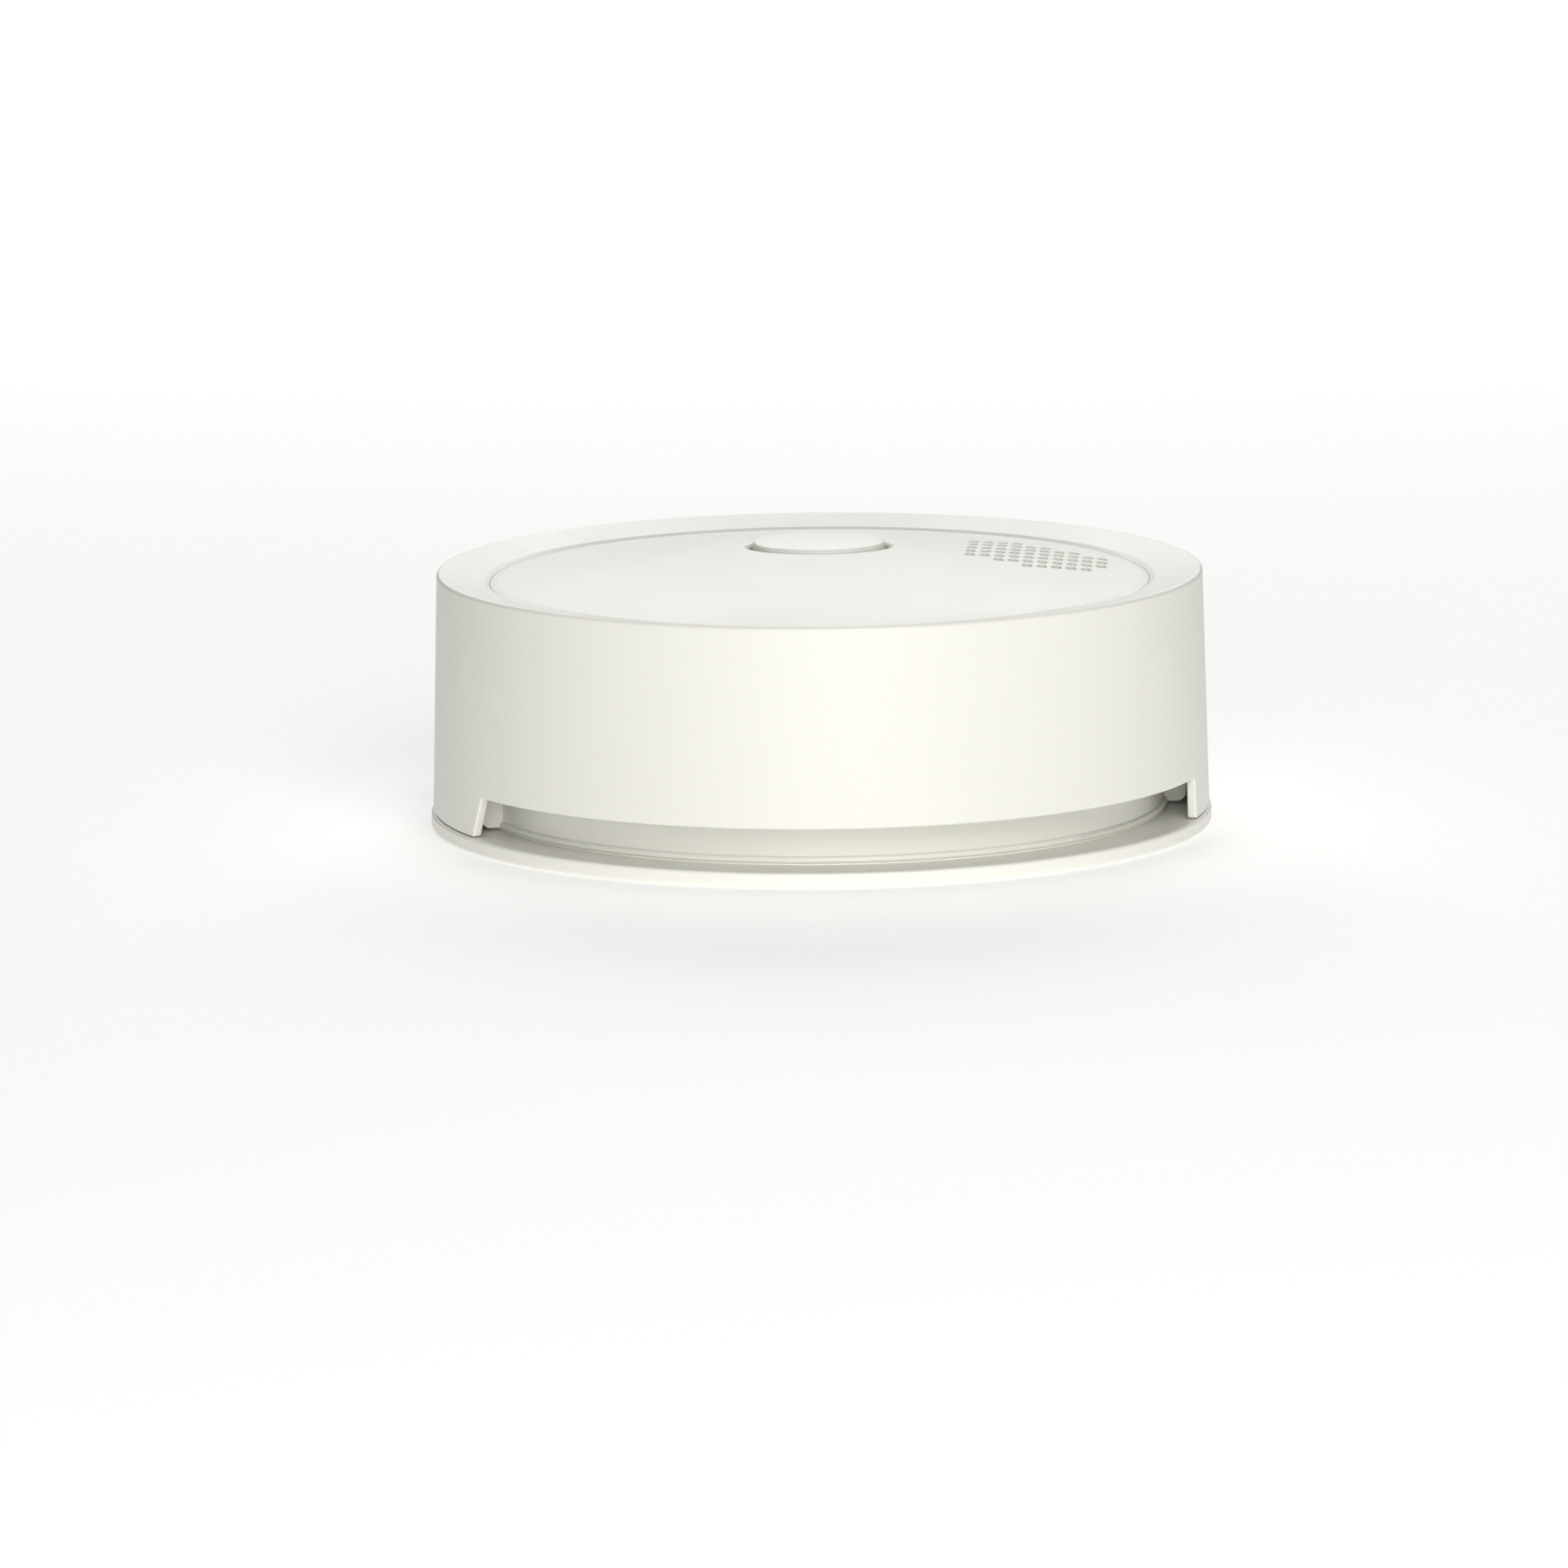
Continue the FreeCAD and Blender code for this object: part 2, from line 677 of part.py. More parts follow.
def battery_cell():
    along = Vector(1, 0, 0)
    edge_round = 0.7
    nub_radius = 3.1
    nub_start = battery_end - 1.0
    length = 2 * battery_end - 0.7
    can = Part.makeCylinder(battery_radius, length, Vector(-battery_end, battery_y, battery_z), along)
    nub = Part.makeCylinder(nub_radius, 1.4, Vector(nub_start, battery_y, battery_z), along)
    return fuse(round_circles(can, battery_radius, edge_round), nub)


def battery_terminal(start, side):
    """Nickel strip welded to one end of the cell, bent over onto the board."""
    across = (battery_y - terminal_half_width, battery_y + terminal_half_width)
    tab_top = board_top + 0.25
    upright = block((start, start + terminal_thickness), across, (battery_z - 3.0, tab_top))
    tab = block(sorted((start, start + side * 3.0)), (across[0], board_front + 3.0),
                (board_top + mounting_gap, tab_top))
    return fuse(upright, tab)


def positive_terminal():
    return battery_terminal(battery_end + 0.45, 1)


def negative_terminal():
    return battery_terminal(-battery_end - 0.25, -1)


def battery_strap():
    """Strap over the middle of the cell, standing on the floor."""
    inner = battery_radius + 0.15
    outer = inner + 1.1
    half_width = 4.0
    origin = Vector(-half_width, battery_y, battery_z)
    along = Vector(1, 0, 0)
    across = (-half_width, half_width)
    upper_half = block(across, (-50.0, 0.0), (battery_z, 40.0))
    arch = Part.makeCylinder(outer, 2 * half_width, origin, along).common(upper_half)
    legs = block(across, (battery_y - outer, battery_y + outer), (floor_top + mounting_gap, battery_z))
    bore = Part.makeCylinder(inner, 2 * half_width, origin, along)
    well = block(across, (battery_y - inner, battery_y + inner), (floor_top, battery_z))
    return fuse(arch, legs).cut(fuse(bore, well))


def microcontroller():
    """Flat chip with eight pairs of legs."""
    low = board_top + mounting_gap
    pairs = 8
    pitch = 1.27
    leg_width = 0.4
    first_leg = -16.4
    case = block((-17.0, -7.0), (-13.0, -9.0), (low + 0.1, low + 1.6))
    leg = block((first_leg, first_leg + leg_width), (-14.0, -8.0), (low, low + 0.3))
    return fuse(case, *[moved(leg, i * pitch, 0.0) for i in range(pairs)])


def sounder_coil():
    """Step-up coil for the sounder: a winding between two flanges."""
    low = board_top + mounting_gap
    height = 7.0
    flange = 1.0
    flange_edge = 4.2
    winding = 3.4
    slope = 0.3
    return turned((0, low), (flange_edge, low), (flange_edge, low + flange), (winding, low + flange + slope),
                  (winding, low + height - flange - slope), (flange_edge, low + height - flange),
                  (flange_edge, low + height), (0, low + height), centre=(-24.0, -11.0))


def capacitors():
    low = board_top + mounting_gap
    chamfer = 0.4
    cans = []
    for x, y, radius, height in ((-34.0, 2.0, 2.6, 6.6), (-34.0, 9.0, 2.6, 6.6), (-31.5, 16.0, 3.1, 7.0)):
        top = low + height
        cans.append(turned((0, low), (radius, low), (radius, top - chamfer), (radius - chamfer, top),
                           (0, top), centre=(x, y)))
    return Part.makeCompound(cans)


def small_components():
    """Chip resistors and capacitors spread over the board."""
    low = board_top + mounting_gap
    chip = block((-0.8, 0.8), (-0.4, 0.4), (low, low + 0.5))
    spots = [(-20.0 + 4.0 * i, -5.0) for i in range(5)]
    spots += [(-24.0, 2.0 + 4.0 * i) for i in range(5)]
    spots += [(-14.0, 22.0 + 3.0 * i) for i in range(4)]
    return Part.makeCompound([moved(chip, x, y) for x, y in spots])


def status_led():
    low = board_top + mounting_gap
    lamp = block((-0.7, 0.7), (-1.5, 1.5), (low, low + 0.8))
    return moved(lamp, button_centre[0] - lamp_offset, button_centre[1])


def light_pipe():
    """Clear rod on a bridge over the lamp that carries its light up into the button."""
    low = board_top + mounting_gap
    half = 0.8
    bridge_bottom = low + 0.9
    rod = cylinder(half, low + 1.2, 31.2)
    bridge = block((-half, half), (-2.6, 2.6), (bridge_bottom, bridge_bottom + 0.7))
    foot = block((-half, half), (-0.4, 0.4), (low, low + 1.2))
    feet = [moved(foot, 0.0, side * 2.2) for side in (-1, 1)]
    return moved(fuse(rod, bridge, *feet), button_centre[0] - lamp_offset, button_centre[1])


PARTS = {
    "mounting_plate": mounting_plate,
    "rear_housing": rear_housing,
    "front_cover": front_cover,
    "face_plate": face_plate,
    "test_button": test_button,
    "button_spring": button_spring,
    "switch_body": switch_body,
    "switch_plunger": switch_plunger,
    "circuit_board": circuit_board,
    "board_screws": board_screws,
    "cover_screws": cover_screws,
    "chamber_base": chamber_base,
    "chamber_labyrinth": chamber_labyrinth,
    "insect_screen": insect_screen,
    "infrared_led": lambda: to_chamber(optical_part(1.5), emitter_angle),
    "photodiode": lambda: to_chamber(optical_part(2.2), receiver_angle),
    "sounder_housing": sounder_housing,
    "sounder_disc": sounder_disc,
    "sounder_ceramic": sounder_ceramic,
    "sounder_contacts": sounder_contacts,
    "battery_cell": battery_cell,
    "positive_terminal": positive_terminal,
    "negative_terminal": negative_terminal,
    "battery_strap": battery_strap,
    "microcontroller": microcontroller,
    "sounder_coil": sounder_coil,
    "capacitors": capacitors,
    "small_components": small_components,
    "status_led": status_led,
    "light_pipe": light_pipe,
}

os.makedirs("parts", exist_ok=True)
for node, make in PARTS.items():
    shape = make()
    shape.exportStep(f"parts/{node}.step")
    print(f"{node}: {len(shape.Solids)} solids, {shape.Volume:.1f} mm3, valid {shape.isValid()}")
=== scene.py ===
import json
import math

import bmesh
import bpy
from mathutils import Matrix, Vector
from mathutils.geometry import delaunay_2d_cdt


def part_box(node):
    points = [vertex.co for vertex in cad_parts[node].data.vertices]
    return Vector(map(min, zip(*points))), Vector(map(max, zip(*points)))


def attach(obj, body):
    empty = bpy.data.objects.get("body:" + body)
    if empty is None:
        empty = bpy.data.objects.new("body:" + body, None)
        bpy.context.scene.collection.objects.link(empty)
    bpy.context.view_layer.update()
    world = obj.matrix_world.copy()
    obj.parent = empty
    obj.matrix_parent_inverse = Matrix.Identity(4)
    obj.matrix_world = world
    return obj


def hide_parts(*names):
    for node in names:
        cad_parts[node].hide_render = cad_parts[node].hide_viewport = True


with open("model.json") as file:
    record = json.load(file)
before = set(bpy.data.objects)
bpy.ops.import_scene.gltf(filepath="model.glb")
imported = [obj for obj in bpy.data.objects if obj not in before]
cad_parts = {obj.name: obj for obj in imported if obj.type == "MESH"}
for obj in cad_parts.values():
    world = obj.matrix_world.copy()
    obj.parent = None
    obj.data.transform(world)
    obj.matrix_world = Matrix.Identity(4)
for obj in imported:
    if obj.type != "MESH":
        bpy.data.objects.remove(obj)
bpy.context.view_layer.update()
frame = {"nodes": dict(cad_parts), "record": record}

# Ceiling smoke alarm, lying face up. Metres, in the CAD model's frame: Z = 0 is the ceiling side of the
# mounting plate, +Z points out of the face, and the front is at -Y. Angles are counter-clockwise from +X.
mm = 0.001

cover_low, cover_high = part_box("front_cover")
face_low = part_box("face_plate")[0]
button_low, button_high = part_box("test_button")
button_centre = ((button_low.x + button_high.x) / 2, (button_low.y + button_high.y) / 2)


# Camera and light

def aim(item, place, target, roll=0.0):
    """Point a camera or lamp at the target, then roll it about its own view line."""
    item.location = place
    turn = (Vector(target) - Vector(place)).to_track_quat("-Z", "Y").to_matrix()
    item.rotation_euler = (turn @ Matrix.Rotation(roll, 3, "Z")).to_euler()


def make_camera():
    data = bpy.data.cameras.new("camera")
    data.lens = 251.8
    data.sensor_width = 36.0
    data.clip_start = 0.01
    data.clip_end = 20.0
    camera = bpy.data.objects.new("camera", data)
    bpy.context.scene.collection.objects.link(camera)
    elevation = math.radians(9.8)
    distance = 1.4181
    target = Vector((-4.82 * mm, 0.0, 4.574 * mm))
    back = Vector((0.0, -math.cos(elevation), math.sin(elevation)))
    aim(camera, target + distance * back, target, math.radians(-0.542))
    bpy.context.scene.camera = camera


def softbox(name, place, target, width, height, power, colour=(1.0, 1.0, 1.0)):
    data = bpy.data.lights.new(name, "AREA")
    data.shape = "RECTANGLE"
    data.size = width
    data.size_y = height
    data.energy = power
    data.color = colour
    lamp = bpy.data.objects.new(name, data)
    bpy.context.scene.collection.objects.link(lamp)
    aim(lamp, place, target)
    return lamp


def make_light():
    world = bpy.data.worlds.new("studio")
    world.use_nodes = True
    surround = world.node_tree.nodes["Background"]
    surround.inputs["Color"].default_value = (1.0, 0.975, 0.92, 1.0)
    surround.inputs["Strength"].default_value = 0.15
    bpy.context.scene.world = world
    centre = Vector((0.0, 0.0, 0.02))
    softbox("key", (0.25, -1.05, 0.7), centre, 0.7, 0.5, 5.0, (1.0, 0.99, 0.965))
    softbox("front", (0.05, -1.3, 0.3), centre, 0.9, 0.5, 3.3)
    softbox("low_front", (0.15, -1.3, 0.12), centre, 1.1, 0.2, 3.2, (1.0, 0.985, 0.95))
    softbox("back", (0.0, 1.2, 0.6), centre, 1.0, 0.5, 7.3, (0.98, 1.0, 1.0))
    softbox("overhead", (0.0, 0.1, 1.2), centre, 0.9, 0.9, 2.6)


def make_stage():
    mesh = bpy.data.meshes.new("floor")
    reach = 6.0
    corners = [(-reach, -reach, 0.0), (reach, -reach, 0.0), (reach, reach, 0.0), (-reach, reach, 0.0)]
    mesh.from_pydata(corners, [], [(0, 1, 2, 3)])
    floor = bpy.data.objects.new("floor", mesh)
    bpy.context.scene.collection.objects.link(floor)
    material = bpy.data.materials.new("paper")
    material.use_nodes = True
    paper = material.node_tree.nodes["Principled BSDF"]
    paper.inputs["Base Color"].default_value = (0.93, 0.93, 0.93, 1.0)
    paper.inputs["Roughness"].default_value = 0.95
    paper.inputs["Specular IOR Level"].default_value = 0.1
    paper.inputs["Emission Color"].default_value = (1.0, 1.0, 1.0, 1.0)
    paper.inputs["Emission Strength"].default_value = 0.3
    mesh.materials.append(material)


make_camera()
make_light()
make_stage()
bpy.context.scene.view_settings.view_transform = "Standard"


# Materials

class Shader:
    """Node-based material with short ways to add noise, ranges, mixes and bump."""

    def __init__(self, name):
        self.material = bpy.data.materials.new(name)
        self.material.use_nodes = True
        self.tree = self.material.node_tree
        self.surface = self.tree.nodes["Principled BSDF"]
        self.place = self.tree.nodes.new("ShaderNodeTexCoord").outputs["Object"]

    def link(self, source, target):
        self.tree.links.new(source, target)

    def noise(self, size, detail=2.0, stretch=(1.0, 1.0, 1.0)):
        """Noise whose blotches are about that size in metres."""
        mapping = self.tree.nodes.new("ShaderNodeMapping")
        mapping.inputs["Scale"].default_value = stretch
        self.link(self.place, mapping.inputs["Vector"])
        texture = self.tree.nodes.new("ShaderNodeTexNoise")
        texture.inputs["Scale"].default_value = 1.0 / size
        texture.inputs["Detail"].default_value = detail
        self.link(mapping.outputs["Vector"], texture.inputs["Vector"])
        return texture.outputs["Fac"]

    def ranged(self, value, low_in, high_in, low_out, high_out):
        node = self.tree.nodes.new("ShaderNodeMapRange")
        node.inputs["From Min"].default_value = low_in
        node.inputs["From Max"].default_value = high_in
        node.inputs["To Min"].default_value = low_out
        node.inputs["To Max"].default_value = high_out
        self.link(value, node.inputs["Value"])
        return node.outputs["Result"]

    def mixed(self, amount, first, second):
        """Blend two colours, each a tuple or another node's output."""
        node = self.tree.nodes.new("ShaderNodeMix")
        node.data_type = "RGBA"
        self.link(amount, node.inputs["Factor"])
        for colour, socket in ((first, node.inputs[6]), (second, node.inputs[7])):
            if isinstance(colour, tuple):
                socket.default_value = (*colour[:3], 1.0)
            else:
                self.link(colour, socket)
        return node.outputs[2]

    def edges(self, low, high):
        """1 on outside edges and 0 on flats, from how pointed the mesh is."""
        geometry = self.tree.nodes.new("ShaderNodeNewGeometry")
        return self.ranged(geometry.outputs["Pointiness"], low, high, 0.0, 1.0)

    def bump(self, height, strength, depth):
        node = self.tree.nodes.new("ShaderNodeBump")
        node.inputs["Strength"].default_value = strength
        node.inputs["Distance"].default_value = depth
        self.link(height, node.inputs["Height"])
        self.link(node.outputs["Normal"], self.surface.inputs["Normal"])

    def set(self, **values):
        for name, value in values.items():
            self.surface.inputs[name.replace("_", " ")].default_value = value


def shade(colour, factor):
    return tuple(min(1.0, channel * factor) for channel in colour[:3])


def moulded_plastic(name, colour, roughness, grain=0.25 * mm, depth=0.012 * mm, wear=1.04):
    """Moulded plastic: faint flow mottling, spark-eroded grain and slightly polished edges."""
    shader = Shader(name)
    mottle = shader.ranged(shader.noise(14 * mm, 3.0), 0.35, 0.65, 0.0, 1.0)
    tone = shader.mixed(mottle, shade(colour, 0.995), shade(colour, 1.004))
    speckle = shader.ranged(shader.noise(0.5 * mm, 2.0), 0.3, 0.7, 0.0, 1.0)
    tone = shader.mixed(speckle, tone, shade(colour, 0.992))
    rim = shader.edges(0.52, 0.6)
    shader.link(shader.mixed(rim, tone, shade(colour, wear)), shader.surface.inputs["Base Color"])
    patches = shader.noise(9 * mm, 2.0)
    gloss = shader.ranged(patches, 0.3, 0.7, roughness - 0.015, roughness + 0.015)
    shader.link(gloss, shader.surface.inputs["Roughness"])
    shader.bump(shader.noise(grain, 3.0), 0.25, depth)
    shader.set(IOR=1.5)
    return shader.material


def metal(name, colour, roughness, stretch=(1.0, 1.0, 12.0)):
    """Plain metal with drawn or rolled scratches, dull patches and brighter worn edges."""
    shader = Shader(name)
    dull = shader.ranged(shader.noise(3 * mm, 3.0), 0.35, 0.7, 0.0, 1.0)
    tone = shader.mixed(dull, colour, shade(colour, 0.82))
    rim = shader.edges(0.52, 0.58)
    shader.link(shader.mixed(rim, tone, shade(colour, 1.15)), shader.surface.inputs["Base Color"])
    scratches = shader.noise(0.3 * mm, 4.0, stretch)
    gloss = shader.ranged(scratches, 0.3, 0.7, roughness - 0.08, roughness + 0.1)
    shader.link(gloss, shader.surface.inputs["Roughness"])
    shader.bump(scratches, 0.15, 0.01 * mm)
    shader.set(Metallic=1.0)
    return shader.material


def clear_resin(name, colour, roughness):
    shader = Shader(name)
    swirl = shader.ranged(shader.noise(2 * mm, 2.0), 0.35, 0.65, 0.0, 1.0)
    shader.link(shader.mixed(swirl, colour, shade(colour, 0.92)), shader.surface.inputs["Base Color"])
    gloss = shader.ranged(shader.noise(1 * mm, 2.0), 0.3, 0.7, roughness, roughness + 0.08)
    shader.link(gloss, shader.surface.inputs["Roughness"])
    shader.bump(shader.noise(0.4 * mm, 2.0), 0.05, 0.01 * mm)
    shader.set(Transmission_Weight=0.9, IOR=1.49)
    return shader.material


def solder_mask(name, colour):
    """Green board: copper tracks show as lighter raised lines under the lacquer."""
    shader = Shader(name)
    tracks = shader.tree.nodes.new("ShaderNodeTexBrick")
    tracks.inputs["Scale"].default_value = 1.0
    tracks.inputs["Brick Width"].default_value = 3.2 * mm
    tracks.inputs["Row Height"].default_value = 1.1 * mm
    tracks.inputs["Mortar Size"].default_value = 0.22 * mm
    tracks.inputs["Mortar Smooth"].default_value = 0.2
    shader.link(shader.place, tracks.inputs["Vector"])
    cover = shader.ranged(shader.noise(7 * mm, 1.0), 0.47, 0.53, 0.0, 1.0)
    both = shader.tree.nodes.new("ShaderNodeMath")
    both.operation = "MULTIPLY"
    shader.link(tracks.outputs["Fac"], both.inputs[0])
    shader.link(cover, both.inputs[1])
    lines = both.outputs["Value"]
    mottle = shader.ranged(shader.noise(5 * mm, 3.0), 0.3, 0.7, 0.0, 1.0)
    tone = shader.mixed(mottle, colour, shade(colour, 0.86))
    shader.link(shader.mixed(lines, tone, shade(colour, 1.5)), shader.surface.inputs["Base Color"])
    gloss = shader.ranged(mottle, 0.0, 1.0, 0.28, 0.4)
    shader.link(gloss, shader.surface.inputs["Roughness"])
    shader.bump(lines, 0.4, 0.035 * mm)
    return shader.material


SLOT_COLOURS = {entry["slot"]: tuple(entry["base_color"]) for entry in frame["record"]["materials"]}
WHITE_PLASTIC = (0.85, 0.845, 0.79)

RECIPES = {
    "shell_plastic": lambda n, c: moulded_plastic(n, WHITE_PLASTIC, 0.46),
    # Painted light: the plate is a lighter copy of the shell's white plastic, brightened to stand in for
    # bounce light on its top under the cover's edge.
    "plate_plastic": lambda n, c: moulded_plastic(n, shade(WHITE_PLASTIC, 1.07), 0.4),
    "button_plastic": lambda n, c: moulded_plastic(n, shade(WHITE_PLASTIC, 0.99), 0.42),
    "strap_plastic": lambda n, c: moulded_plastic(n, c, 0.5),
    "chamber_plastic": lambda n, c: moulded_plastic(n, c, 0.75, grain=0.4 * mm, depth=0.03 * mm),
    "switch_black": lambda n, c: moulded_plastic(n, c, 0.45),
    "switch_stem": lambda n, c: moulded_plastic(n, c, 0.4),
    "sounder_black": lambda n, c: moulded_plastic(n, c, 0.5),
    "chip_black": lambda n, c: moulded_plastic(n, c, 0.6, grain=0.15 * mm, depth=0.02 * mm),
    "chip_component": lambda n, c: moulded_plastic(n, c, 0.55),
    "coil_ferrite": lambda n, c: moulded_plastic(n, c, 0.55, grain=0.3 * mm, depth=0.03 * mm),
    "cell_wrap": lambda n, c: moulded_plastic(n, c, 0.3, depth=0.004 * mm),
    "led_package": lambda n, c: moulded_plastic(n, c, 0.3),
    "sounder_ceramic": lambda n, c: moulded_plastic(n, c, 0.35, grain=0.5 * mm),
    "diode_lens": lambda n, c: moulded_plastic(n, c, 0.15, depth=0.003 * mm),
    "board_laminate": solder_mask,
    "screw_steel": lambda n, c: metal(n, c, 0.32),
    "spring_steel": lambda n, c: metal(n, c, 0.25),
    "mesh_steel": lambda n, c: metal(n, c, 0.35),
    "sounder_brass": lambda n, c: metal(n, c, 0.3, (1.0, 8.0, 1.0)),
    "contact_metal": lambda n, c: metal(n, c, 0.22),
    "nickel_strip": lambda n, c: metal(n, c, 0.3, (8.0, 1.0, 1.0)),
    "capacitor_can": lambda n, c: metal(n, c, 0.3),
    "led_lens": lambda n, c: clear_resin(n, c, 0.05),
    "pipe_clear": lambda n, c: clear_resin(n, c, 0.08),
}
MATERIALS = {slot: RECIPES[slot](slot + "_look", SLOT_COLOURS[slot]) for slot in RECIPES}

for node in frame["nodes"].values():
    for place in node.material_slots:
        place.material = MATERIALS[place.material.name]
# Painted light: the housing's recess wall gets a lighter copy of the white plastic, brightened to stand in
# for bounce light under the cover's edge.
for place in frame["nodes"]["rear_housing"].material_slots:
    place.material = moulded_plastic("housing_look", shade(WHITE_PLASTIC, 1.06), 0.42)


# Sizes that the visible shells share with the CAD model

foot = cover_low.z
cover_foot_radius = cover_high.x
cover_top_radius = 49.35 * mm
cover_edge = 7.35 * mm
cover_wall = 1.2 * mm
rim_top = cover_high.z
rim_inner_top = 31.75 * mm
rim_round = 0.5 * mm
shoulder = rim_top - rim_round
rim_inner_radius = 43.2 * mm
seat_radius = 42.5 * mm
seat_height = 29.9 * mm
ledge_radius = 40.4 * mm
ledge_thickness = 1.5 * mm
rim_bevel = 0.4 * mm
face_bevel = 0.3 * mm
slot_start = math.radians(-150.0)
slot_sweep = math.radians(133.0)
slot_lean = 2.2 * mm
post_angles = (-155.0, -25.0, 50.0, 130.0)
post_circle = 39.4 * mm

shown_gap = 0.04 * mm
face_radius = seat_radius - shown_gap
dome_radius = 41.5 * mm
dome_edge = 31.65 * mm
dome_height = 2.35 * mm
face_thickness = 1.3 * mm
button_hole_radius = 9.15 * mm
button_radius = 8.6 * mm
flange_radius = button_high.x - button_centre[0]
button_top = button_high.z
button_wall = 1.2 * mm

plate_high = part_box("mounting_plate")[1]
plate_radius = plate_high.x
plate_top = 1.9 * mm
relief_depth = 0.8 * mm


# Mesh tools

def corner_arc(before, corner, after, radius, steps):
    """Points of a round of that radius in the corner between two straight lines, or the corner itself."""
    back = (Vector(before) - Vector(corner)).normalized()
    ahead = (Vector(after) - Vector(corner)).normalized()
    half = back.angle(ahead) / 2
    if radius <= 0.0 or half > math.radians(89.0):
        return [Vector(corner)]
    centre = Vector(corner) + (back + ahead).normalized() * radius / math.sin(half)
    start = Vector(corner) + back * radius / math.tan(half) - centre
    end = Vector(corner) + ahead * radius / math.tan(half) - centre
    sweep = start.angle(end)
    return [centre + (start * math.sin(sweep * (1 - t)) + end * math.sin(sweep * t)) / math.sin(sweep)
            for t in (i / steps for i in range(steps + 1))]


def rounded(corners, steps=5, closed=True):
    """Outline through (x, y, radius) corners, with a round of its own radius in each."""
    points = []
    count = len(corners)
    for i, (x, y, radius) in enumerate(corners):
        if closed or 0 < i < count - 1:
            before = corners[i - 1][:2]
            after = corners[(i + 1) % count][:2]
            points += corner_arc(before, (x, y), after, radius, steps)
        else:
            points.append(Vector((x, y)))
    return points


def subdivided(points, spacing, closed=True):
    """The same outline with more points, none further apart than the spacing."""
    result = []
    count = len(points)
    for i in range(count if closed else count - 1):
        here, there = points[i], points[(i + 1) % count]
        parts = max(1, math.ceil((there - here).length / spacing))
        result += [here.lerp(there, k / parts) for k in range(parts)]
    return result if closed else result + [points[-1]]


def offset_outline(points, distance):
    """Closed counter-clockwise outline moved outwards by the distance."""
    result = []
    count = len(points)
    for i in range(count):
        along = (points[(i + 1) % count] - points[i - 1]).normalized()
        result.append(points[i] + distance * Vector((along.y, -along.x)))
    return result


def obround(centre, length, width, steps=8):
    """Round-ended slot along Y, counter-clockwise."""
    straight = (length - width) / 2
    points = []
    for end, start_angle in ((1, 0.0), (-1, math.pi)):
        for i in range(steps + 1):
            angle = start_angle + math.pi * i / steps
            points.append(Vector((centre[0] + math.cos(angle) * width / 2,
                                  centre[1] + end * straight + math.sin(angle) * width / 2)))
    return points


